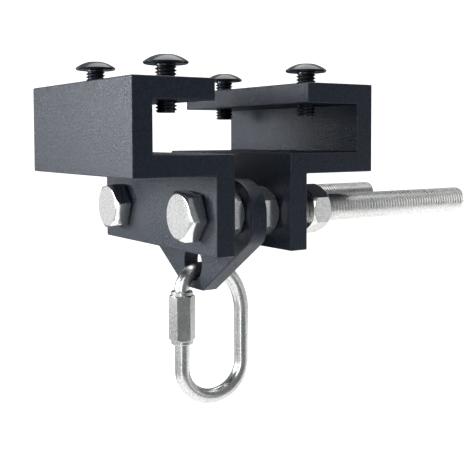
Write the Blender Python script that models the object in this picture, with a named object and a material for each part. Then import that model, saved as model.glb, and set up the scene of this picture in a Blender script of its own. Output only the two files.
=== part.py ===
"""Beam clamp: two jaws that close on the lower flange of a steel beam, with a hanger and a quick link.

Metres. +X runs across the beam from the left jaw to the right jaw, +Y along the beam, +Z up.
The origin is at the middle of the flange's underside, level with the ledges that carry it.
"""

import math

import bmesh
import bpy
from mathutils import Euler, Matrix, Vector

# --- Driving dimensions -------------------------------------------------------------------------

GAP = 0.0003  # between faces that touch on the real object

PLATE = 0.010  # wall thickness of the jaws
JAW_LENGTH = 0.115
SLOT_HEIGHT = 0.024  # the flange's way into a jaw
TOP_REACH = 0.0415  # top plate, from the jaw's outer face to its free edge
LEDGE_REACH = 0.052  # bottom plate, from the jaw's outer face to the leg's inner face
LEG_DROP = 0.037  # leg, below the bottom plate
JAW_EDGE = 0.0006  # broken edges of the jaws

HANGER_THICKNESS = 0.0087
HANGER_CORNER = 0.0163  # top corners, round the bolts
HANGER_BOTTOM = -0.0712
HANGER_FOOT = 0.0097  # half the width of the flat bottom
HANGER_SLOPE = math.radians(34.4)  # lower edges, from the horizontal
HANGER_SIDE_ROUND = 0.010
HANGER_EDGE = 0.0005
LINK_HOLE_RADIUS = 0.0087
LINK_HOLE_Z = -0.0580

BOLT_RADIUS = 0.007
BOLT_LENGTH = 0.180  # under the head
BOLT_Y = 0.038
BOLT_Z = -0.029
BOLT_HOLE_RADIUS = 0.0075
HEX_ACROSS_FLATS = 0.022
HEX_FACE_SHARE = 0.95  # round end face left by the corner chamfer, over the width across flats
THREAD_TIP = 0.0012  # chamfer at the end of each bolt
WASHER_FACE = 0.0005
HEAD_HEIGHT = 0.0088
HEAD_TURN = {"front": math.radians(38.5), "rear": math.radians(21)}  # a corner, from straight down
NUT_FUNNEL = 0.0005  # chamfer at each end of a nut's bore
LOCK_NUT_HEIGHT = 0.0110
CLAMP_NUT_HEIGHT = 0.0110
CLAMP_NUT_STANDOFF = 0.0115  # the outer nuts stand off the right leg, backed off

SCREW_RADIUS = 0.005
SCREW_HOLE_RADIUS = 0.0053
SCREW_LENGTH = 0.022  # under the head
SCREW_HEAD_RADIUS = 0.0105
SCREW_HEAD_HEIGHT = 0.0051
SCREW_HEAD_LIP = 0.0009  # thickness of the dome's rim
SCREW_FILLET = 0.0005  # under the head
SCREW_TIP = 0.0008
SOCKET_ACROSS_FLATS = 0.006
SOCKET_DEPTH = 0.003
SCREW_INSET = 0.0273  # screw axis, from the jaw's outer face
SCREW_LIFT = {  # underside of each head, above the top plate
    "front_left": 0.0068,
    "rear_left": 0.0092,
    "front_right": 0.0063,
    "rear_right": 0.0060,
}

WIRE_RADIUS = 0.0039
LINK_LEFT = -0.0110  # centre line of the sleeve's side
LINK_RIGHT = 0.0262  # centre line of the plain side
LINK_TOP = -0.0615  # centre line at the top
LINK_BOTTOM = -0.1302  # centre line at the bottom
LINK_CORNERS = {  # each corner is a quarter of an ellipse: width, height
    "top_left": (0.0102, 0.0103),
    "bottom_left": (0.0186, 0.0170),
    "bottom_right": (0.0186, 0.0170),
    "top_right": (0.0186, 0.0255),
}
GATE_TOP = -0.0753  # end of the upper stub, inside the sleeve
GATE_GAP = 0.0080
SLEEVE_TOP = -0.0718
SLEEVE_LENGTH = 0.0278
SLEEVE_ACROSS_FLATS = 0.0122
SLEEVE_TURN = math.radians(-22)  # a corner of the hexagon, from +X
SLEEVE_COLLAR_RADIUS = 0.0057
SLEEVE_COLLAR_LENGTH = 0.0020
SLEEVE_BORE_RADIUS = 0.0042

# --- Worked out from them -----------------------------------------------------------------------

LOCK_NUT_PITCH = HANGER_THICKNESS / 2 + GAP  # hanger's mid-plane to a lock nut's near face
LEG_INNER_X = LOCK_NUT_PITCH + LOCK_NUT_HEIGHT + GAP
LEG_OUTER_X = LEG_INNER_X + PLATE
JAW_OUTER_X = LEG_INNER_X + LEDGE_REACH
SCREW_X = JAW_OUTER_X - SCREW_INSET
TOP_PLATE_Z = SLOT_HEIGHT + PLATE
HEX_CORNER = 1 / math.cos(math.radians(30))  # corner radius over half the width across flats

# --- Helpers ------------------------------------------------------------------------------------


def clear_scene():
    for obj in list(bpy.data.objects):
        bpy.data.objects.remove(obj, do_unlink=True)


def make_material(name, colour, metallic, roughness):
    material = bpy.data.materials.new(name)
    material.use_nodes = True
    shader = material.node_tree.nodes["Principled BSDF"]
    shader.inputs["Base Color"].default_value = (*colour, 1)
    shader.inputs["Metallic"].default_value = metallic
    shader.inputs["Roughness"].default_value = roughness
    return material


def add_object(name, bm, material=None):
    """Turns a bmesh into an object, with its faces pointing out."""
    bmesh.ops.recalc_face_normals(bm, faces=bm.faces)
    mesh = bpy.data.meshes.new(name)
    bm.to_mesh(mesh)
    bm.free()
    if material:
        mesh.materials.append(material)
    obj = bpy.data.objects.new(name, mesh)
    bpy.context.scene.collection.objects.link(obj)
    return obj


def hide_helper(obj):
    obj.hide_render = True
    obj.display_type = "WIRE"
    return obj


def smooth_round_faces(obj, degrees=35):
    obj.data.shade_smooth()
    obj.data.set_sharp_from_angle(angle=math.radians(degrees))


def prism(name, outline, start, end, material=None):
    """Extrudes a closed outline of 3-D points from start to end, two offsets along one direction."""
    bm = bmesh.new()
    face = bm.faces.new([bm.verts.new(point + start) for point in outline])
    made = bmesh.ops.extrude_face_region(bm, geom=[face])
    moved = [item for item in made["geom"] if isinstance(item, bmesh.types.BMVert)]
    bmesh.ops.translate(bm, verts=moved, vec=end - start)
    return add_object(name, bm, material)


def turned(name, profile, steps, material=None):
    """Spins a profile of (radius, height) points, which begins and ends on the axis, round Z."""
    bm = bmesh.new()
    line = [bm.verts.new((radius, 0, height)) for radius, height in profile]
    edges = [bm.edges.new(pair) for pair in zip(line, line[1:])]
    bmesh.ops.spin(
        bm, geom=line + edges, cent=(0, 0, 0), axis=(0, 0, 1), angle=2 * math.pi, steps=steps
    )
    bmesh.ops.remove_doubles(bm, verts=bm.verts, dist=1e-6)
    return add_object(name, bm, material)


def hexagon_prism(name, across_flats, low, high, material=None):
    corner = across_flats / 2 * HEX_CORNER
    outline = [
        Vector((corner * math.cos(math.radians(angle)), corner * math.sin(math.radians(angle)), 0))
        for angle in range(0, 360, 60)
    ]
    return prism(name, outline, Vector((0, 0, low)), Vector((0, 0, high)), material)


def combine(obj, helper, operation):
    """Adds a Boolean whose other body is placed in obj's own frame and moves with it."""
    helper.parent = obj
    modifier = obj.modifiers.new(helper.name, "BOOLEAN")
    modifier.operation = operation
    modifier.solver = "EXACT"
    modifier.object = hide_helper(helper)


def break_edges(obj, width):
    bevel = obj.modifiers.new("broken edges", "BEVEL")
    bevel.width = width
    bevel.segments = 2
    bevel.limit_method = "ANGLE"
    bevel.angle_limit = math.radians(40)


def along_x(turn):
    """A rotation that turns a shape by an angle about its own Z, then lays that Z onto +X."""
    return (Euler((0, math.pi / 2, 0)).to_matrix() @ Matrix.Rotation(turn, 3, "Z")).to_euler()


def place(obj, location, parent=None, rotation=(0, 0, 0)):
    """Puts an object at a world position. No parent here is turned or scaled."""
    obj.location = Vector(location)
    obj.rotation_euler = rotation
    if parent:
        obj.parent = parent
        obj.location -= parent.location


def hole(obj, name, location, radius, length, rotation=(0, 0, 0)):
    """Drills through obj, about a position on the hole's axis."""
    cutter = turned(name, [(0, -length), (radius, -length), (radius, length), (0, length)], 32)
    place(cutter, location, rotation=rotation)
    combine(obj, cutter, "DIFFERENCE")


# --- Jaws ---------------------------------------------------------------------------------------


def jaw(name, side, material):
    """A C-shaped profile with a leg below its ledge. side is -1 on the left and +1 on the right."""
    outer, inner = JAW_OUTER_X, LEG_INNER_X
    profile = [
        (outer, -PLATE),
        (LEG_OUTER_X, -PLATE),
        (LEG_OUTER_X, -PLATE - LEG_DROP),
        (inner, -PLATE - LEG_DROP),
        (inner, 0),
        (outer - PLATE, 0),
        (outer - PLATE, SLOT_HEIGHT),
        (outer - TOP_REACH, SLOT_HEIGHT),
        (outer - TOP_REACH, TOP_PLATE_Z),
        (outer, TOP_PLATE_Z),
    ]
    outline = [Vector((side * x, 0, z)) for x, z in profile]
    half = Vector((0, JAW_LENGTH / 2, 0))
    obj = prism(name, outline, -half, half, material)
    break_edges(obj, JAW_EDGE)
    for end, y in (("front", -BOLT_Y), ("rear", BOLT_Y)):
        leg = (side * (LEG_INNER_X + PLATE / 2), y, BOLT_Z)
        hole(obj, f"{name}_{end}_bolt_hole", leg, BOLT_HOLE_RADIUS, PLATE, along_x(0))
        plate = (side * SCREW_X, y, SLOT_HEIGHT + PLATE / 2)
        hole(obj, f"{name}_{end}_screw_hole", plate, SCREW_HOLE_RADIUS, PLATE)
    smooth_round_faces(obj)
    return obj


# --- Hanger -------------------------------------------------------------------------------------


def arc(centre_y, centre_z, radius, start, end, steps):
    """Points on an arc, in the hanger's YZ plane, with angles in degrees from +Y towards +Z."""
    angles = [math.radians(start + (end - start) * i / steps) for i in range(steps + 1)]
    return [(centre_y + radius * math.cos(a), centre_z + radius * math.sin(a)) for a in angles]


def hanger_half_outline():
    """The outline's +Y half, from the bottom up: foot, sloping edge, side and the bolt's corner."""
    side_y = BOLT_Y + HANGER_CORNER
    slope = math.tan(HANGER_SLOPE)
    meeting_z = HANGER_BOTTOM + (side_y - HANGER_FOOT) * slope
    turn = math.pi / 2 - HANGER_SLOPE
    round_z = meeting_z + HANGER_SIDE_ROUND * math.tan(turn / 2)
    lower = arc(
        side_y - HANGER_SIDE_ROUND, round_z, HANGER_SIDE_ROUND, -math.degrees(turn), 0, 6
    )
    upper = arc(BOLT_Y, BOLT_Z, HANGER_CORNER, 0, 90, 12)
    return [(HANGER_FOOT, HANGER_BOTTOM), *lower, *upper]


def hanger_plate(material):
    half = hanger_half_outline()
    mirrored = [(-y, z) for y, z in reversed(half)]
    outline = [Vector((0, y, z)) for y, z in half + mirrored]
    across = Vector((HANGER_THICKNESS / 2, 0, 0))
    obj = prism("hanger_plate", outline, -across, across, material)
    break_edges(obj, HANGER_EDGE)
    for end, y in (("front", -BOLT_Y), ("rear", BOLT_Y)):
        hole(obj, f"hanger_{end}_hole", (0, y, BOLT_Z), BOLT_HOLE_RADIUS, PLATE, along_x(0))
    hole(obj, "hanger_link_hole", (0, 0, LINK_HOLE_Z), LINK_HOLE_RADIUS, PLATE, along_x(0))
    smooth_round_faces(obj)
    return obj


# --- Bolts and nuts -----------------------------------------------------------------------------


def chamfer_body(name, low, high, across_flats, chamfer_low, chamfer_high):
    """A turned body that, meeting a hexagon, cuts its corners back at 30 degrees."""
    wide = across_flats / 2 * HEX_CORNER + GAP
    rim = across_flats / 2 * HEX_FACE_SHARE
    drop = (wide - rim) * math.tan(math.radians(30))
    profile = [(0, low)]
    profile += [(rim, low), (wide, low + drop)] if chamfer_low else [(wide, low)]
    profile += [(wide, high - drop), (rim, high)] if chamfer_high else [(wide, high)]
    profile += [(0, high)]
    return turned(name, profile, 36)


def bolt(name, material):
    """Along Z: the head below the origin, the threaded shank above it."""
    obj = hexagon_prism(name, HEX_ACROSS_FLATS, -HEAD_HEIGHT, -WASHER_FACE, material)
    corners = chamfer_body(
        f"{name}_corners", -HEAD_HEIGHT, 0, HEX_ACROSS_FLATS, chamfer_low=True, chamfer_high=False
    )
    combine(obj, corners, "INTERSECT")
    washer_radius = HEX_ACROSS_FLATS / 2 * HEX_FACE_SHARE
    shank = [
        (0, -HEAD_HEIGHT / 2),
        (washer_radius, -HEAD_HEIGHT / 2),
        (washer_radius, 0),
        (BOLT_RADIUS, 0),
        (BOLT_RADIUS, BOLT_LENGTH - THREAD_TIP),
        (BOLT_RADIUS - THREAD_TIP, BOLT_LENGTH),
        (0, BOLT_LENGTH),
    ]
    combine(obj, turned(f"{name}_shank", shank, 32), "UNION")
    smooth_round_faces(obj, 25)
    return obj


def nut(name, height, material):
    """Along Z, centred on its origin."""
    half = height / 2
    obj = hexagon_prism(name, HEX_ACROSS_FLATS, -half, half, material)
    corners = chamfer_body(
        f"{name}_corners", -half, half, HEX_ACROSS_FLATS, chamfer_low=True, chamfer_high=True
    )
    combine(obj, corners, "INTERSECT")
    bore = BOLT_RADIUS + GAP
    mouth = bore + NUT_FUNNEL
    past = height
    funnel = half - NUT_FUNNEL
    bore_profile = [
        (0, -past),
        (mouth, -past),
        (mouth, -half),
        (bore, -funnel),
        (bore, funnel),
        (mouth, half),
        (mouth, past),
        (0, past),
    ]
    combine(obj, turned(f"{name}_bore", bore_profile, 28), "DIFFERENCE")
    smooth_round_faces(obj, 25)
    return obj


# --- Clamp screws -------------------------------------------------------------------------------


def clamp_screw(name, material):
    """Along Z, with a thin domed head above the origin and the threaded shank below it."""
    dome_height = SCREW_HEAD_HEIGHT - SCREW_HEAD_LIP
    dome_radius = (SCREW_HEAD_RADIUS**2 + dome_height**2) / (2 * dome_height)
    dome_span = math.asin(SCREW_HEAD_RADIUS / dome_radius)
    dome_steps = 5
    dome = [
        (
            dome_radius * math.sin(dome_span * i / dome_steps),
            SCREW_HEAD_HEIGHT - dome_radius * (1 - math.cos(dome_span * i / dome_steps)),
        )
        for i in range(dome_steps, 0, -1)
    ]
    profile = [
        (0, -SCREW_LENGTH),
        (SCREW_RADIUS - SCREW_TIP, -SCREW_LENGTH),
        (SCREW_RADIUS, -SCREW_LENGTH + SCREW_TIP),
        (SCREW_RADIUS, 0),
        (SCREW_RADIUS + SCREW_FILLET, SCREW_FILLET),
        (SCREW_HEAD_RADIUS - SCREW_HEAD_LIP, SCREW_FILLET),
        (SCREW_HEAD_RADIUS - SCREW_HEAD_LIP / 3, 0),
        *dome,
        (0, SCREW_HEAD_HEIGHT),
    ]
    obj = turned(name, profile, 28, material)
    floor = SCREW_HEAD_HEIGHT - SOCKET_DEPTH
    above = SCREW_HEAD_HEIGHT + SOCKET_DEPTH
    socket = hexagon_prism(f"{name}_socket", SOCKET_ACROSS_FLATS, floor, above)
    combine(obj, socket, "DIFFERENCE")
    smooth_round_faces(obj, 30)
    return obj


# --- Quick link ---------------------------------------------------------------------------------


def quarter_ellipse(centre, width, height, start, steps=9):
    """A quarter turn anticlockwise in XZ from the angle start, in degrees, both ends included."""
    angles = [math.radians(start + 90 * i / steps) for i in range(steps + 1)]
    return [(centre[0] + width * math.cos(a), centre[1] + height * math.sin(a)) for a in angles]


def link_route():
    """The wire's centre line in XZ, from the lower stub round to the upper stub."""
    route = [(LINK_LEFT, GATE_TOP - GATE_GAP)]
    for corner, (x, right), (z, up), start in (
        ("bottom_left", (LINK_LEFT, 1), (LINK_BOTTOM, 1), 180),
        ("bottom_right", (LINK_RIGHT, -1), (LINK_BOTTOM, 1), 270),
        ("top_right", (LINK_RIGHT, -1), (LINK_TOP, -1), 0),
        ("top_left", (LINK_LEFT, 1), (LINK_TOP, -1), 90),
    ):
        width, height = LINK_CORNERS[corner]
        points = quarter_ellipse((x + right * width, z + up * height), width, height, start)
        joins_last = math.dist(points[0], route[-1]) < WIRE_RADIUS
        route += points[1:] if joins_last else points
    return [*route, (LINK_LEFT, GATE_TOP)]


def quick_link(material):
    curve = bpy.data.curves.new("quick_link", "CURVE")
    curve.dimensions = "3D"
    curve.bevel_depth = WIRE_RADIUS
    curve.bevel_resolution = 5
    curve.use_fill_caps = True
    curve.materials.append(material)
    route = link_route()
    spline = curve.splines.new("POLY")
    spline.points.add(len(route) - 1)
    for point, (x, z) in zip(spline.points, route):
        point.co = (x, 0, z - LINK_TOP, 1)
    obj = bpy.data.objects.new("quick_link", curve)
    bpy.context.scene.collection.objects.link(obj)
    return obj


def link_sleeve(material):
    """A hexagonal threaded sleeve with a round collar at each end, centred on its origin."""
    half = SLEEVE_LENGTH / 2
    body = half - SLEEVE_COLLAR_LENGTH
    obj = hexagon_prism("link_sleeve", SLEEVE_ACROSS_FLATS, -body, body, material)
    corners = chamfer_body(
        "link_sleeve_corners", -body, body, SLEEVE_ACROSS_FLATS, chamfer_low=True, chamfer_high=True
    )
    combine(obj, corners, "INTERSECT")
    radius = SLEEVE_COLLAR_RADIUS
    collars = [(0, -half), (radius, -half), (radius, half), (0, half)]
    combine(obj, turned("link_sleeve_collars", collars, 32), "UNION")
    bore = [(0, -half * 2), (SLEEVE_BORE_RADIUS, -half * 2)]
    bore += [(SLEEVE_BORE_RADIUS, half * 2), (0, half * 2)]
    combine(obj, turned("link_sleeve_bore", bore, 24), "DIFFERENCE")
    smooth_round_faces(obj, 25)
    return obj


# --- Assembly -----------------------------------------------------------------------------------


def build():
    clear_scene()
    powder_coat = make_material("black_powder_coat", (0.030, 0.031, 0.035), 0.0, 0.55)
    zinc = make_material("bright_zinc", (0.78, 0.79, 0.80), 1.0, 0.24)
    black_oxide = make_material("black_oxide", (0.028, 0.029, 0.032), 0.6, 0.28)

    left_jaw = jaw("left_jaw", -1, powder_coat)
    right_jaw = jaw("right_jaw", 1, powder_coat)
    hanger = hanger_plate(powder_coat)

    nut_x = LOCK_NUT_PITCH + LOCK_NUT_HEIGHT / 2
    clamp_nut_x = LEG_OUTER_X + CLAMP_NUT_STANDOFF + CLAMP_NUT_HEIGHT / 2
    for end, y in (("front", -BOLT_Y), ("rear", BOLT_Y)):
        head = (-LEG_OUTER_X - GAP, y, BOLT_Z)
        place(bolt(f"{end}_bolt", zinc), head, left_jaw, along_x(HEAD_TURN[end]))
        for side, x in (("left", -nut_x), ("right", nut_x)):
            lock_nut = nut(f"{end}_{side}_lock_nut", LOCK_NUT_HEIGHT, zinc)
            place(lock_nut, (x, y, BOLT_Z), hanger, along_x(0))
        clamp_nut = nut(f"{end}_clamp_nut", CLAMP_NUT_HEIGHT, zinc)
        place(clamp_nut, (clamp_nut_x, y, BOLT_Z), right_jaw, along_x(0))
        for side, x, owner in (("left", -SCREW_X, left_jaw), ("right", SCREW_X, right_jaw)):
            screw = clamp_screw(f"{end}_{side}_clamp_screw", black_oxide)
            lift = SCREW_LIFT[f"{end}_{side}"]
            place(screw, (x, y, TOP_PLATE_Z + lift), owner)

    link = quick_link(zinc)
    place(link, (0, 0, LINK_TOP), hanger)
    sleeve = link_sleeve(zinc)
    sleeve_centre = (LINK_LEFT, 0, SLEEVE_TOP - SLEEVE_LENGTH / 2)
    place(sleeve, sleeve_centre, link, (0, 0, SLEEVE_TURN))


build()
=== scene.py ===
"""Looks of the beam clamp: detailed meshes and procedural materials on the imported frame.

Metres, in the CAD model's own frame: +X along the bolts, +Y along the beam, +Z up.
"""

import math

import bmesh
import bpy
from mathutils import Matrix, Vector


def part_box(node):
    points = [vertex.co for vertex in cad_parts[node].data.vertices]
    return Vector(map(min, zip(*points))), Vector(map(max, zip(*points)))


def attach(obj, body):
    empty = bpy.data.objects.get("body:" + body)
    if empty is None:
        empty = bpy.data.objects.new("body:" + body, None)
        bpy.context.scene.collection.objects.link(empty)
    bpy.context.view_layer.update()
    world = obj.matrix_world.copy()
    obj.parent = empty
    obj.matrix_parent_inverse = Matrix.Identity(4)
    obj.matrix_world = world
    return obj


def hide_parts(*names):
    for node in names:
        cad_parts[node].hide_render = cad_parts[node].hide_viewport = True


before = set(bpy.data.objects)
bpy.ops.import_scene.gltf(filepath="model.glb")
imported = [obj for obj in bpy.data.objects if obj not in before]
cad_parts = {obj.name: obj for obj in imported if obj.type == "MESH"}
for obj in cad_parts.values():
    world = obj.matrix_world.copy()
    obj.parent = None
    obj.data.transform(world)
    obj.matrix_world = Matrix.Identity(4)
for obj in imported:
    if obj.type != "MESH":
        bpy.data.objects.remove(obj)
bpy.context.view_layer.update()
SCENE = bpy.context.scene

# --- Sizes shared with the CAD model --------------------------------------------------------------

PLATE = 0.010  # wall thickness of the jaws
SLOT_HEIGHT = 0.024  # the flange's way into a jaw
TOP_REACH = 0.0415  # top plate, from the jaw's outer face to its free edge

HANGER_SLOPE = math.radians(34.4)  # lower edges, from the horizontal
HANGER_FOOT = 0.0097  # half the width of the flat bottom
HANGER_SIDE_ROUND = 0.010
LINK_HOLE_RADIUS = 0.0087
LINK_HOLE_Z = -0.0580

BOLT_Y = 0.038
BOLT_Z = -0.029
BOLT_RADIUS = 0.007
BOLT_HOLE_RADIUS = 0.0075
HEX_ACROSS_FLATS = 0.022
HEAD_X = -0.02625  # underside of each bolt's head
HEAD_TURN = {"front": math.radians(38.5), "rear": math.radians(21)}  # a corner, from straight down
WASHER_FACE = 0.0005
THREAD_TIP = 0.0012  # chamfer at the end of each bolt
ENDS = (("front", -BOLT_Y), ("rear", BOLT_Y))

SCREW_RADIUS = 0.005
SCREW_HOLE_RADIUS = 0.0053
SCREW_LENGTH = 0.022  # under the head
SOCKET_ACROSS_FLATS = 0.006
SOCKET_DEPTH = 0.003

WIRE_RADIUS = 0.0039
LINK_CORNERS = {  # each corner is a quarter of an ellipse: width, height
    "bottom_left": (0.0186, 0.0170),
    "bottom_right": (0.0186, 0.0170),
    "top_right": (0.0186, 0.0255),
    "top_left": (0.0102, 0.0103),
}
GATE_TOP = -0.0753  # end of the upper stub, inside the sleeve
GATE_LOW = -0.0833  # end of the lower stub
SLEEVE_ACROSS_FLATS = 0.0122
SLEEVE_TURN = math.radians(-22)  # a corner of the hexagon, from +X
SLEEVE_COLLAR_RADIUS = 0.0057
SLEEVE_COLLAR_LENGTH = 0.0020

# --- Sizes of the looks only ----------------------------------------------------------------------

PLATE_EDGE = 0.0006  # rounding of the jaws' and the hanger's edges
HEAD_EDGE = 0.00018  # width of the bevels on the bolt heads
NUT_EDGE = 0.00015
SLEEVE_EDGE = 0.00018

HEX_STEPS = 72  # points round a nut, a bolt head or the sleeve
HEAD_RIM = 0.0105  # round face left inside the corner chamfer
HEAD_SLOPE = 0.60  # fall of that chamfer, per unit outwards
NUT_RIM = 0.0108
NUT_SLOPE = 1.10
NUT_CLEARANCE = 0.0001  # between a nut's bore and the bolt
NUT_MOUTH = 0.0008  # radius of a nut's countersink less the bolt's

BOLT_PITCH = 0.002
SCREW_PITCH = 0.0016
SCREW_TIP = 0.0009  # chamfer at a screw's end
SCREW_NECK = 0.0005  # chamfer of the thread under a screw's head
THREAD_DEPTH = 0.6134  # crest to root, over the pitch
THREAD_PROFILE = (  # share of the pitch along the axis, and height against the crest over the depth
    (0.000, -0.04),
    (0.0625, 0.0),
    (0.125, -0.04),
    (0.4375, -0.94),
    (0.5625, -1.0),
    (0.6875, -0.94),
)

SCREW_LIP = 0.0011  # thickness of the dome's rim
SOCKET_BREAK = 0.0003  # broken edge round the socket

STUB_PITCH = 0.001
STUB_DEPTH = 0.00045  # crest to root
STUB_CHAMFER = 0.0004  # length along the wire
STUB_FACE = 0.0008  # wire's radius less the radius of its end face
LOWER_STUB_TURNS = 8
UPPER_STUB_TURNS = 2

SLEEVE_RIM = 0.95  # round face left by the corner chamfer, over the width across flats
SLEEVE_CHAMFER = math.radians(35)
SLEEVE_BORE = 0.0041
SLEEVE_MOUTH = 0.0003  # countersink of the sleeve's bore, outwards and along it
COLLAR_BREAK = 0.0004

# --- Materials ------------------------------------------------------------------------------------


class Nodes:
    """A short way to build a material's node tree."""

    def __init__(self, name):
        self.material = bpy.data.materials.new(name)
        self.material.use_nodes = True
        self.tree = self.material.node_tree
        self.shader = self.tree.nodes["Principled BSDF"]
        self.place = self.add("ShaderNodeTexCoord").outputs["Object"]

    def add(self, kind, **settings):
        node = self.tree.nodes.new(kind)
        for key, value in settings.items():
            setattr(node, key, value)
        return node

    def link(self, output, target):
        self.tree.links.new(output, target)

    def stretched(self, scale):
        mapping = self.add("ShaderNodeMapping")
        mapping.inputs["Scale"].default_value = scale
        self.link(self.place, mapping.inputs["Vector"])
        return mapping.outputs["Vector"]

    def noise(self, scale, detail=2.0, roughness=0.5, vector=None):
        node = self.add("ShaderNodeTexNoise")
        node.inputs["Scale"].default_value = scale
        node.inputs["Detail"].default_value = detail
        node.inputs["Roughness"].default_value = roughness
        self.link(vector or self.place, node.inputs["Vector"])
        return node.outputs["Fac"]

    def ramp(self, value, stops):
        node = self.add("ShaderNodeValToRGB")
        elements = node.color_ramp.elements
        while len(elements) < len(stops):
            elements.new(0.5)
        for element, (position, colour) in zip(elements, stops):
            element.position = position
            element.color = (*colour, 1) if len(colour) == 3 else colour
        self.link(value, node.inputs["Fac"])
        return node.outputs["Color"]

    def span(self, value, low, high, low_out, high_out):
        node = self.add("ShaderNodeMapRange")
        for index, number in enumerate((low, high, low_out, high_out), 1):
            node.inputs[index].default_value = number
        self.link(value, node.inputs[0])
        return node.outputs[0]

    def bump(self, height, strength, distance, below=None):
        node = self.add("ShaderNodeBump")
        node.inputs["Strength"].default_value = strength
        node.inputs["Distance"].default_value = distance
        self.link(height, node.inputs["Height"])
        if below:
            self.link(below, node.inputs["Normal"])
        return node.outputs["Normal"]

    def mix(self, factor, first, second, blend="MIX"):
        node = self.add("ShaderNodeMix", data_type="RGBA", blend_type=blend)
        if isinstance(factor, float):
            node.inputs["Factor"].default_value = factor
        else:
            self.link(factor, node.inputs["Factor"])
        for socket, source in ((6, first), (7, second)):
            if isinstance(source, tuple):
                node.inputs[socket].default_value = (*source, 1)
            else:
                self.link(source, node.inputs[socket])
        return node.outputs[2]

    def set(self, **values):
        for key, value in values.items():
            self.shader.inputs[key.replace("_", " ")].default_value = value

    def drive(self, **outputs):
        for key, output in outputs.items():
            self.link(output, self.shader.inputs[key.replace("_", " ")])


def powder_coat():
    """Black polyester powder: an orange-peel skin with a fine sandy grain on it."""
    n = Nodes("black_powder_coat")
    grain = n.noise(950.0, 2.0, 0.7)
    peel = n.noise(420.0, 1.0, 0.5)
    cloud = n.noise(28.0, 3.0, 0.55)
    fleck = n.ramp(grain, [(0.38, (0.0035, 0.0060, 0.0125)), (0.62, (0.0075, 0.0115, 0.0225))])
    tone = n.ramp(cloud, [(0.30, (0.82, 0.82, 0.84)), (0.70, (1.0, 1.0, 1.0))])
    n.set(Metallic=0.0, Specular_IOR_Level=0.40, Specular_Tint=(0.86, 0.92, 1.0, 1))
    n.drive(
        Base_Color=n.mix(1.0, fleck, tone, "MULTIPLY"),
        Roughness=n.span(grain, 0.35, 0.65, 0.32, 0.48),
        Normal=n.bump(grain, 1.0, 0.00030, n.bump(peel, 0.20, 0.0002)),
    )
    return n.material


def zinc(name, smooth, rough, dull):
    """Zinc plate: bright, a little yellow in places, with a fine frosted grain and handling marks."""
    n = Nodes(name)
    cloud = n.noise(90.0, 3.0, 0.55)
    stain = n.noise(35.0, 2.0, 0.5)
    frost = n.noise(850.0, 3.0, 0.75)
    marks = n.noise(900.0, 3.0, 0.7, n.stretched((0.25, 1.0, 1.0)))
    tint = n.ramp(stain, [(0.35, (0.82, 0.82, 0.81)), (0.62, (0.86, 0.85, 0.82))])
    sheen = n.ramp(frost, [(0.38, (0.52, 0.52, 0.52)), (0.60, (0.97, 0.96, 0.95))])
    n.set(Metallic=1.0)
    n.drive(
        Base_Color=n.mix(1.0, n.mix(0.45, tint, sheen), (dull, dull, dull), "MULTIPLY"),
        Roughness=n.span(cloud, 0.3, 0.7, smooth, rough),
        Normal=n.bump(marks, 0.10, 0.00005, n.bump(frost, 0.15, 0.00006)),
    )
    return n.material


def black_oxide():
    """Oiled black oxide on machined steel."""
    n = Nodes("black_oxide")
    cloud = n.noise(180.0, 3.0, 0.6)
    fine = n.noise(1600.0, 2.0, 0.6)
    n.set(Metallic=0.0, Specular_IOR_Level=0.45, Coat_Weight=0.25, Coat_Roughness=0.10)
    n.drive(
        Base_Color=n.ramp(cloud, [(0.3, (0.006, 0.008, 0.013)), (0.7, (0.013, 0.017, 0.026))]),
        Roughness=n.span(cloud, 0.3, 0.7, 0.22, 0.36),
        Normal=n.bump(fine, 0.08, 0.00004),
    )
    return n.material


POWDER = powder_coat()
HEAD_ZINC = zinc("head_zinc", 0.09, 0.17, 1.0)
THREAD_ZINC = zinc("thread_zinc", 0.24, 0.34, 0.88)
NUT_ZINC = zinc("nut_zinc", 0.16, 0.26, 0.84)
LINK_ZINC = zinc("link_zinc", 0.20, 0.30, 0.76)
SLEEVE_ZINC = zinc("sleeve_zinc", 0.22, 0.32, 0.64)
OXIDE = black_oxide()

# --- Mesh helpers ---------------------------------------------------------------------------------


def to_object(name, bm, material, sharp=30):
    """A smooth object, with creases where faces meet at more than a sharp angle in degrees."""
    bmesh.ops.recalc_face_normals(bm, faces=bm.faces)
    mesh = bpy.data.meshes.new(name)
    bm.to_mesh(mesh)
    bm.free()
    mesh.materials.append(material)
    mesh.shade_smooth()
    mesh.set_sharp_from_angle(angle=math.radians(sharp))
    obj = bpy.data.objects.new(name, mesh)
    SCENE.collection.objects.link(obj)
    return obj


def finish_piece(obj, node, body):
    """Puts a detailed piece in a CAD node's place, on its body."""
    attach(obj, body)
    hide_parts(node)


def soften(obj, width, segments=2, angle=28):
    """Rounds the sharp edges a little, so that they catch light as real ones do."""
    bevel = obj.modifiers.new("soft edges", "BEVEL")
    bevel.width = width
    bevel.segments = segments
    bevel.limit_method = "ANGLE"
    bevel.angle_limit = math.radians(angle)
    bevel.harden_normals = True


def rings_to_bm(rings, closed=False):
    """A skin over rings of equal length. Open skins are closed by a fan at each end."""
    bm = bmesh.new()
    loops = [[bm.verts.new(point) for point in ring] for ring in rings]
    pairs = list(zip(loops, loops[1:]))
    if closed:
        pairs.append((loops[-1], loops[0]))
    count = len(loops[0])
    for a, b in pairs:
        for i in range(count):
            j = (i + 1) % count
            bm.faces.new((a[i], a[j], b[j], b[i]))
    if not closed:
        for loop in (loops[0], loops[-1]):
            centre = sum((v.co for v in loop), Vector()) / count
            middle = bm.verts.new(centre)
            for i in range(count):
                bm.faces.new((loop[i], loop[(i + 1) % count], middle))
    return bm


def circle(radius, z, steps):
    """A ring of points round Z, at one height."""
    return [
        Vector((radius * math.cos(2 * math.pi * i / steps), radius * math.sin(2 * math.pi * i / steps), z))
        for i in range(steps)
    ]


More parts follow.
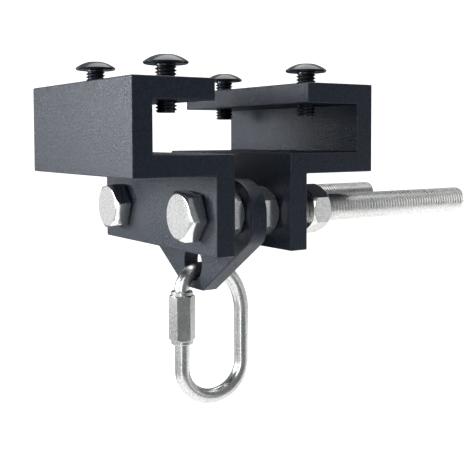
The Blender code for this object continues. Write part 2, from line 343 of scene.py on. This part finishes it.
def hexagon(across_flats, height_at, steps):
    """A ring on a hexagon's sides, with a corner on +X, at a height that may vary with the radius."""
    ring = []
    for i in range(steps):
        angle = 2 * math.pi * i / steps
        from_flat = (angle % (math.pi / 3)) - math.pi / 6
        radius = across_flats / 2 / math.cos(from_flat)
        ring.append(Vector((radius * math.cos(angle), radius * math.sin(angle), height_at(radius))))
    return ring


def place(obj, location, turn=0.0, along_x=False):
    """Moves a mesh made round Z: turned about Z, laid along X if asked, then put in its place."""
    matrix = Matrix.Rotation(turn, 4, "Z")
    if along_x:
        matrix = Matrix.Rotation(math.pi / 2, 4, "Y") @ matrix
    obj.data.transform(Matrix.Translation(location) @ matrix)
    return obj


def join(bm, other):
    """Adds another bmesh's faces to this one."""
    mesh = bpy.data.meshes.new("joined")
    other.to_mesh(mesh)
    other.free()
    bm.from_mesh(mesh)
    bpy.data.meshes.remove(mesh)


def thread_bm(radius, pitch, low, high, tip_low, tip_high, steps=32):
    """A right-hand thread along Z between two heights, cut back by a cone at each end.

    The profile is close to the ISO metric one: a nearly flat crest, flanks about 59 degrees apart
    and a rounded root.
    """
    depth = THREAD_DEPTH * pitch
    bm = bmesh.new()
    turns = math.ceil((high - low) / pitch) + 2
    grid = []
    for i in range(turns * steps + 1):
        angle = 2 * math.pi * i / steps
        row = []
        for share, drop in THREAD_PROFILE:
            z = low + pitch * (i / steps + share - 1)
            r = radius + depth * drop
            r = min(r, radius - tip_low + max(z - low, 0), radius - tip_high + max(high - z, 0))
            row.append(bm.verts.new((r * math.cos(angle), r * math.sin(angle), z)))
        grid.append(row)
    last = len(THREAD_PROFILE) - 1
    for i in range(len(grid) - 1):
        for k in range(last):
            bm.faces.new((grid[i][k], grid[i + 1][k], grid[i + 1][k + 1], grid[i][k + 1]))
        if i + 1 + steps < len(grid):
            bm.faces.new(
                (grid[i][last], grid[i + 1][last], grid[i + 1 + steps][0], grid[i + steps][0])
            )
    for z, normal in ((low, (0, 0, -1)), (high, (0, 0, 1))):
        geometry = [*bm.verts, *bm.edges, *bm.faces]
        cut = bmesh.ops.bisect_plane(
            bm, geom=geometry, dist=1e-7, plane_co=(0, 0, z), plane_no=normal, clear_outer=True
        )
        edges = [e for e in cut["geom_cut"] if isinstance(e, bmesh.types.BMEdge)]
        bmesh.ops.contextual_create(bm, geom=edges)
    return bm


# --- Jaws and hanger ------------------------------------------------------------------------------


def bored(obj, cutters):
    """Cuts the holes for good and removes their cutters."""
    for cutter in cutters:
        modifier = obj.modifiers.new(cutter.name, "BOOLEAN")
        modifier.operation = "DIFFERENCE"
        modifier.solver = "EXACT"
        modifier.object = cutter
    bpy.context.view_layer.update()
    graph = bpy.context.evaluated_depsgraph_get()
    mesh = bpy.data.meshes.new_from_object(obj.evaluated_get(graph))
    obj.modifiers.clear()
    obj.data = mesh
    for cutter in cutters:
        bpy.data.objects.remove(cutter)
    return obj


def rod(name, location, radius, length, along_x, steps=48):
    """A round cutter, centred on its location, along X or Z."""
    bm = rings_to_bm([circle(radius, -length / 2, steps), circle(radius, length / 2, steps)])
    return place(to_object(name, bm, POWDER), location, 0.0, along_x)


def extruded(name, outline, offset):
    """A closed outline of points, extruded both ways by an offset."""
    bm = bmesh.new()
    near = [bm.verts.new(point - offset) for point in outline]
    far = [bm.verts.new(point + offset) for point in outline]
    bm.faces.new(near)
    bm.faces.new(far)
    for i in range(len(outline)):
        j = (i + 1) % len(outline)
        bm.faces.new((near[i], near[j], far[j], far[i]))
    return to_object(name, bm, POWDER)


def jaw_piece(side, node):
    """A jaw: side is -1 for the left one and 1 for the right one."""
    low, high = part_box(node)
    outer = max(abs(low.x), abs(high.x))
    inner = min(abs(low.x), abs(high.x))
    half = Vector((0, high.y, 0))
    profile = [
        (outer, -PLATE),
        (inner + PLATE, -PLATE),
        (inner + PLATE, low.z),
        (inner, low.z),
        (inner, 0),
        (outer - PLATE, 0),
        (outer - PLATE, SLOT_HEIGHT),
        (outer - TOP_REACH, SLOT_HEIGHT),
        (outer - TOP_REACH, high.z),
        (outer, high.z),
    ]
    obj = extruded(f"{node}_body", [Vector((side * x, 0, z)) for x, z in profile], half)
    cutters = []
    for end, y in ENDS:
        x = side * (inner + PLATE / 2)
        cutters.append(rod(f"{end}_bolt_hole", (x, y, BOLT_Z), BOLT_HOLE_RADIUS, PLATE * 2, True))
        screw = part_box(f"{end}_{node.split('_')[0]}_clamp_screw")
        x = (screw[0].x + screw[1].x) / 2
        z = SLOT_HEIGHT + PLATE / 2
        cutters.append(rod(f"{end}_screw_hole", (x, y, z), SCREW_HOLE_RADIUS, PLATE * 2, False))
    bored(obj, cutters)
    soften(obj, PLATE_EDGE, 3)
    finish_piece(obj, node, node)


def arc(centre, radius, start, end, steps):
    """Points along part of a circle, from one angle in degrees to another."""
    angles = [math.radians(start + (end - start) * i / steps) for i in range(steps + 1)]
    return [(centre[0] + radius * math.cos(a), centre[1] + radius * math.sin(a)) for a in angles]


def hanger_piece():
    low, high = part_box("hanger_plate")
    side_y = high.y
    corner = high.z - BOLT_Z
    meeting = low.z + (side_y - HANGER_FOOT) * math.tan(HANGER_SLOPE)
    turn = math.pi / 2 - HANGER_SLOPE
    round_z = meeting + HANGER_SIDE_ROUND * math.tan(turn / 2)
    half = [(HANGER_FOOT, low.z)]
    half += arc((side_y - HANGER_SIDE_ROUND, round_z), HANGER_SIDE_ROUND, -math.degrees(turn), 0, 14)
    half += arc((BOLT_Y, BOLT_Z), corner, 0, 90, 28)
    outline = [Vector((0, y, z)) for y, z in half + [(-y, z) for y, z in reversed(half)]]
    obj = extruded("hanger_plate_body", outline, Vector((high.x, 0, 0)))
    cutters = [rod(f"{end}_hole", (0, y, BOLT_Z), BOLT_HOLE_RADIUS, PLATE * 2, True) for end, y in ENDS]
    cutters.append(rod("link_hole", (0, 0, LINK_HOLE_Z), LINK_HOLE_RADIUS, PLATE * 2, True, 72))
    bored(obj, cutters)
    soften(obj, PLATE_EDGE, 3)
    finish_piece(obj, "hanger_plate", "hanger")


# --- Bolts and nuts -------------------------------------------------------------------------------


def bolt_piece(end, y):
    node = f"{end}_bolt"
    low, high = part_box(node)
    head = HEAD_X - low.x
    rings = [
        circle(HEAD_RIM * 0.5, -head, HEX_STEPS),
        circle(HEAD_RIM, -head, HEX_STEPS),
        hexagon(HEX_ACROSS_FLATS, lambda r: -head + (r - HEAD_RIM) * HEAD_SLOPE, HEX_STEPS),
        hexagon(HEX_ACROSS_FLATS, lambda r: -WASHER_FACE, HEX_STEPS),
        circle(HEAD_RIM, -WASHER_FACE, HEX_STEPS),
        circle(HEAD_RIM, 0, HEX_STEPS),
    ]
    bm = rings_to_bm(rings)
    length = high.x - HEAD_X
    bmesh.ops.recalc_face_normals(bm, faces=bm.faces)
    sharp = [e for e in bm.edges if e.calc_face_angle(0) > math.radians(20)]
    bmesh.ops.bevel(bm, geom=sharp, offset=HEAD_EDGE, segments=2, profile=0.5, affect="EDGES")
    overlap = 0.0002  # of the thread with the head
    join(bm, thread_bm(BOLT_RADIUS, BOLT_PITCH, -overlap, length, 0, THREAD_TIP))
    obj = to_object(node + "_body", bm, HEAD_ZINC, sharp=24)
    obj.data.materials.append(THREAD_ZINC)
    for face in obj.data.polygons:
        face.material_index = int(face.center.z > 0)
    place(obj, (HEAD_X, y, BOLT_Z), HEAD_TURN[end], True)
    finish_piece(obj, node, node)


def nut_piece(node):
    low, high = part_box(node)
    height = high.x - low.x
    bore = BOLT_RADIUS + NUT_CLEARANCE
    mouth = BOLT_RADIUS + NUT_MOUTH
    rings = [
        circle(mouth, 0, HEX_STEPS),
        circle(NUT_RIM, 0, HEX_STEPS),
        hexagon(HEX_ACROSS_FLATS, lambda r: (r - NUT_RIM) * NUT_SLOPE, HEX_STEPS),
        hexagon(HEX_ACROSS_FLATS, lambda r: height - (r - NUT_RIM) * NUT_SLOPE, HEX_STEPS),
        circle(NUT_RIM, height, HEX_STEPS),
        circle(mouth, height, HEX_STEPS),
        circle(bore, height - mouth + bore, HEX_STEPS),
        circle(bore, mouth - bore, HEX_STEPS),
    ]
    obj = to_object(node + "_body", rings_to_bm(rings, closed=True), NUT_ZINC)
    centre = (low + high) / 2
    place(obj, (low.x, centre.y, centre.z), 0.0, True)
    soften(obj, NUT_EDGE)
    finish_piece(obj, node, node)


# --- Clamp screws ---------------------------------------------------------------------------------


def screw_piece(node):
    low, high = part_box(node)
    top = high.z - low.z - SCREW_LENGTH
    edge = (high.x - low.x) / 2
    steps = 48
    dome_rings = 14
    rise = top - SCREW_LIP
    sphere = (edge**2 + rise**2) / (2 * rise)
    span = math.asin(edge / sphere)
    socket_edge = SOCKET_ACROSS_FLATS / 2 / math.cos(math.radians(30)) + SOCKET_BREAK
    start = math.asin(socket_edge / sphere)

    def on_dome(angle):
        """Radius and height on the dome, at an angle from its top."""
        return sphere * math.sin(angle), top - sphere * (1 - math.cos(angle))

    rim = on_dome(start)
    rings = [
        hexagon(SOCKET_ACROSS_FLATS, lambda r: top - SOCKET_DEPTH, steps),
        hexagon(SOCKET_ACROSS_FLATS, lambda r: rim[1] - SOCKET_BREAK, steps),
        circle(rim[0], rim[1], steps),
    ]
    for i in range(1, dome_rings + 1):
        r, z = on_dome(start + (span - start) * i / dome_rings)
        rings.append(circle(r, z, steps))
    # The rounded lip, the slightly hollow underside, and the neck down into the thread.
    rings += [
        circle(edge - 0.00012, SCREW_LIP - 0.0005, steps),
        circle(edge - 0.0005, 0.0001, steps),
        circle(edge - 0.0009, 0.0, steps),
        circle(edge - 0.0016, 0.0003, steps),
        circle(SCREW_RADIUS + 0.0006, 0.0006, steps),
        circle(SCREW_RADIUS - 0.0004, 0.0001, steps),
        circle(SCREW_RADIUS - 0.0004, -0.0006, steps),
    ]
    bm = rings_to_bm(rings)
    thread_top = -0.0003  # inside the neck, which ends lower
    join(bm, thread_bm(SCREW_RADIUS, SCREW_PITCH, -SCREW_LENGTH, thread_top, SCREW_TIP, SCREW_NECK))
    obj = to_object(node + "_body", bm, OXIDE, sharp=32)
    centre = (low + high) / 2
    place(obj, (centre.x, centre.y, high.z - top))
    finish_piece(obj, node, node)


# --- Quick link -----------------------------------------------------------------------------------


def link_route():
    """The wire's centre line in XZ, from the lower stub round to the upper stub."""
    low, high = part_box("quick_link")
    left, right = low.x + WIRE_RADIUS, high.x - WIRE_RADIUS
    top, bottom = high.z - WIRE_RADIUS, low.z + WIRE_RADIUS
    route = []
    steps = 22
    for name, x, inwards, z, up, start in (
        ("bottom_left", left, 1, bottom, 1, 180),
        ("bottom_right", right, -1, bottom, 1, 270),
        ("top_right", right, -1, top, -1, 0),
        ("top_left", left, 1, top, -1, 90),
    ):
        width, height = LINK_CORNERS[name]
        for i in range(steps + 1):
            a = math.radians(start + 90 * i / steps)
            point = (x + inwards * width + width * math.cos(a), z + up * height + height * math.sin(a))
            if not route or math.dist(point, route[-1]) > 1e-4:
                route.append(point)
    return left, route


def link_piece():
    left, route = link_route()
    pitch = STUB_PITCH
    crest, root = WIRE_RADIUS, WIRE_RADIUS - STUB_DEPTH

    def stub(end_z, away, turns):
        """Threaded end of the wire, from its chamfered face to the plain wire."""
        points = [(end_z, WIRE_RADIUS - STUB_FACE), (end_z + away * STUB_CHAMFER, root)]
        for i in range(turns):
            base = end_z + away * (STUB_CHAMFER + pitch * i)
            points += [(base + away * pitch * 0.45, crest), (base + away * pitch * 0.6, crest)]
            points += [(base + away * pitch, root)]
        points.append((base + away * pitch * 1.5, crest))
        return [((left, z), r) for z, r in points]

    lower = stub(GATE_LOW, -1, LOWER_STUB_TURNS)
    upper = stub(GATE_TOP, 1, UPPER_STUB_TURNS)[::-1]
    path = lower + [(point, WIRE_RADIUS) for point in route] + upper
    steps = 28
    rings = []
    for i, ((x, z), radius) in enumerate(path):
        before = path[max(i - 1, 0)][0]
        after = path[min(i + 1, len(path) - 1)][0]
        direction = Vector((after[0] - before[0], 0, after[1] - before[1])).normalized()
        side = direction.cross(Vector((0, 1, 0)))
        centre = Vector((x, 0, z))
        ring = []
        for k in range(steps):
            a = 2 * math.pi * k / steps
            ring.append(centre + radius * (side * math.cos(a) + Vector((0, 1, 0)) * math.sin(a)))
        rings.append(ring)
    obj = to_object("quick_link_wire", rings_to_bm(rings), LINK_ZINC, sharp=40)
    finish_piece(obj, "quick_link", "quick_link")


def sleeve_piece():
    low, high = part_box("link_sleeve")
    half = (high.z - low.z) / 2
    body = half - SLEEVE_COLLAR_LENGTH
    flats = SLEEVE_ACROSS_FLATS
    rim = flats / 2 * SLEEVE_RIM
    slope = math.tan(SLEEVE_CHAMFER)
    rings = [
        circle(SLEEVE_BORE + SLEEVE_MOUTH, -half, HEX_STEPS),
        circle(SLEEVE_COLLAR_RADIUS - COLLAR_BREAK, -half, HEX_STEPS),
        circle(SLEEVE_COLLAR_RADIUS, -half + COLLAR_BREAK, HEX_STEPS),
        circle(SLEEVE_COLLAR_RADIUS, -body, HEX_STEPS),
        hexagon(flats, lambda r: -body + max(r - rim, 0) * slope, HEX_STEPS),
        hexagon(flats, lambda r: body - max(r - rim, 0) * slope, HEX_STEPS),
        circle(SLEEVE_COLLAR_RADIUS, body, HEX_STEPS),
        circle(SLEEVE_COLLAR_RADIUS, half - COLLAR_BREAK, HEX_STEPS),
        circle(SLEEVE_COLLAR_RADIUS - COLLAR_BREAK, half, HEX_STEPS),
        circle(SLEEVE_BORE + SLEEVE_MOUTH, half, HEX_STEPS),
        circle(SLEEVE_BORE, half - SLEEVE_MOUTH, HEX_STEPS),
        circle(SLEEVE_BORE, -half + SLEEVE_MOUTH, HEX_STEPS),
    ]
    obj = to_object("link_sleeve_body", rings_to_bm(rings, closed=True), SLEEVE_ZINC)
    centre = (low + high) / 2
    place(obj, centre, SLEEVE_TURN)
    soften(obj, SLEEVE_EDGE)
    finish_piece(obj, "link_sleeve", "link_sleeve")


# --- All pieces -----------------------------------------------------------------------------------

jaw_piece(-1, "left_jaw")
jaw_piece(1, "right_jaw")
hanger_piece()
for end, y in ENDS:
    bolt_piece(end, y)
    nut_piece(f"{end}_left_lock_nut")
    nut_piece(f"{end}_right_lock_nut")
    nut_piece(f"{end}_clamp_nut")
    screw_piece(f"{end}_left_clamp_screw")
    screw_piece(f"{end}_right_clamp_screw")
link_piece()
sleeve_piece()

# --- Studio ---------------------------------------------------------------------------------------

FLOOR_Z = -0.45
CAMERA_PLACE = (-0.2276, -0.3725, 0.0071)
CAMERA_ANGLES = (34.01, -3.20, 0.19)  # yaw to the right of +Y, pitch up and roll, in degrees
CAMERA_FOCAL = 1.763  # focal length over the frame's width
CAMERA_SHIFT = -0.1097
SENSOR_WIDTH = 36.0


def floor():
    """A white floor that the camera sees, and that neither lights nor mirrors in the object."""
    bpy.ops.mesh.primitive_plane_add(size=40, location=(0, 0, FLOOR_Z))
    obj = bpy.context.object
    obj.name = "studio_floor"
    material = bpy.data.materials.new("studio_floor")
    material.use_nodes = True
    shader = material.node_tree.nodes["Principled BSDF"]
    shader.inputs["Base Color"].default_value = (0.9, 0.9, 0.9, 1)
    shader.inputs["Roughness"].default_value = 0.9
    shader.inputs["Specular IOR Level"].default_value = 0.0
    shader.inputs["Emission Color"].default_value = (1, 1, 1, 1)
    shader.inputs["Emission Strength"].default_value = 1.0
    obj.data.materials.append(material)
    obj.visible_diffuse = False
    obj.visible_glossy = False


def area_light(name, location, target, width, height, power):
    """A rectangular light in watts, turned to its target and hidden from the camera."""
    data = bpy.data.lights.new(name, "AREA")
    data.shape = "RECTANGLE"
    data.size = width
    data.size_y = height
    data.energy = power
    obj = bpy.data.objects.new(name, data)
    SCENE.collection.objects.link(obj)
    obj.location = location
    direction = Vector(target) - Vector(location)
    obj.rotation_euler = direction.to_track_quat("-Z", "Y").to_euler()
    obj.visible_camera = False


def world_light(backdrop, ambient, tint):
    """A white backdrop for the camera, and dimmer light from all round for the object."""
    world = bpy.data.worlds.new("studio")
    world.use_nodes = True
    SCENE.world = world
    tree = world.node_tree
    tree.nodes.clear()
    output = tree.nodes.new("ShaderNodeOutputWorld")
    path = tree.nodes.new("ShaderNodeLightPath")
    choose = tree.nodes.new("ShaderNodeMixShader")
    for index, strength, colour in ((1, ambient, tint), (2, backdrop, (1, 1, 1))):
        background = tree.nodes.new("ShaderNodeBackground")
        background.inputs["Color"].default_value = (*colour, 1)
        background.inputs["Strength"].default_value = strength
        tree.links.new(background.outputs[0], choose.inputs[index])
    tree.links.new(path.outputs["Is Camera Ray"], choose.inputs[0])
    tree.links.new(choose.outputs[0], output.inputs["Surface"])


def camera():
    data = bpy.data.cameras.new("camera")
    data.sensor_width = SENSOR_WIDTH
    data.lens = CAMERA_FOCAL * SENSOR_WIDTH
    data.shift_y = CAMERA_SHIFT
    obj = bpy.data.objects.new("camera", data)
    SCENE.collection.objects.link(obj)
    yaw, pitch, roll = (math.radians(angle) for angle in CAMERA_ANGLES)
    turn = Matrix.Rotation(-yaw, 4, "Z") @ Matrix.Rotation(math.pi / 2 + pitch, 4, "X")
    turn = turn @ Matrix.Rotation(-roll, 4, "Z")
    obj.matrix_world = Matrix.Translation(CAMERA_PLACE) @ turn
    data.clip_start = 0.01
    SCENE.camera = obj


floor()
world_light(backdrop=1.3, ambient=0.24, tint=(0.90, 0.96, 1.0))
area_light("left_key", (-1.15, 0.45, 0.20), (0, 0, 0), 0.7, 0.7, 6.5)
area_light("left_near", (-0.45, 0.22, 0.05), (-0.07, -0.05, 0.01), 0.15, 0.15, 1.9)
area_light("left_mid", (-0.85, 0.68, 0.14), (0, 0, 0), 0.3, 0.3, 3.2)
area_light("left_wall", (-0.62, 1.05, -0.10), (0, 0, -0.03), 0.9, 0.8, 1.4)
area_light("left_low", (-1.15, 0.0, -0.42), (0, 0, -0.11), 1.3, 0.5, 0.9)
area_light("side_left", (-1.20, -0.30, 0.10), (0, 0, -0.05), 0.7, 0.8, 2.4)
area_light("front_left", (-0.72, -0.72, 0.10), (0, 0, -0.05), 0.30, 0.8, 2.8)
area_light("front_left_low", (-0.74, -0.74, -0.42), (0, 0, -0.11), 0.24, 0.5, 0.5)
area_light("front_right", (0.95, -0.88, -0.15), (0.04, -0.04, -0.03), 0.6, 0.6, 0.65)
area_light("right_wall", (1.40, 0.10, -0.25), (0.05, 0, -0.05), 1.5, 1.1, 2.8)
area_light("floor_left", (-0.25, 0.0, -0.44), (-0.25, 0.0, 0), 0.7, 1.2, 3.2)
area_light("floor_mid", (0.21, 0.0, -0.44), (0.21, 0.0, 0), 0.22, 1.2, 0.9)
area_light("floor_right", (0.92, 0.0, -0.44), (0.92, 0.0, 0), 1.2, 1.4, 4.4)
area_light("ceiling", (0.30, 0.10, 1.1), (0, 0, 0), 1.5, 1.3, 15)
camera()
SCENE.view_settings.view_transform = "Standard"
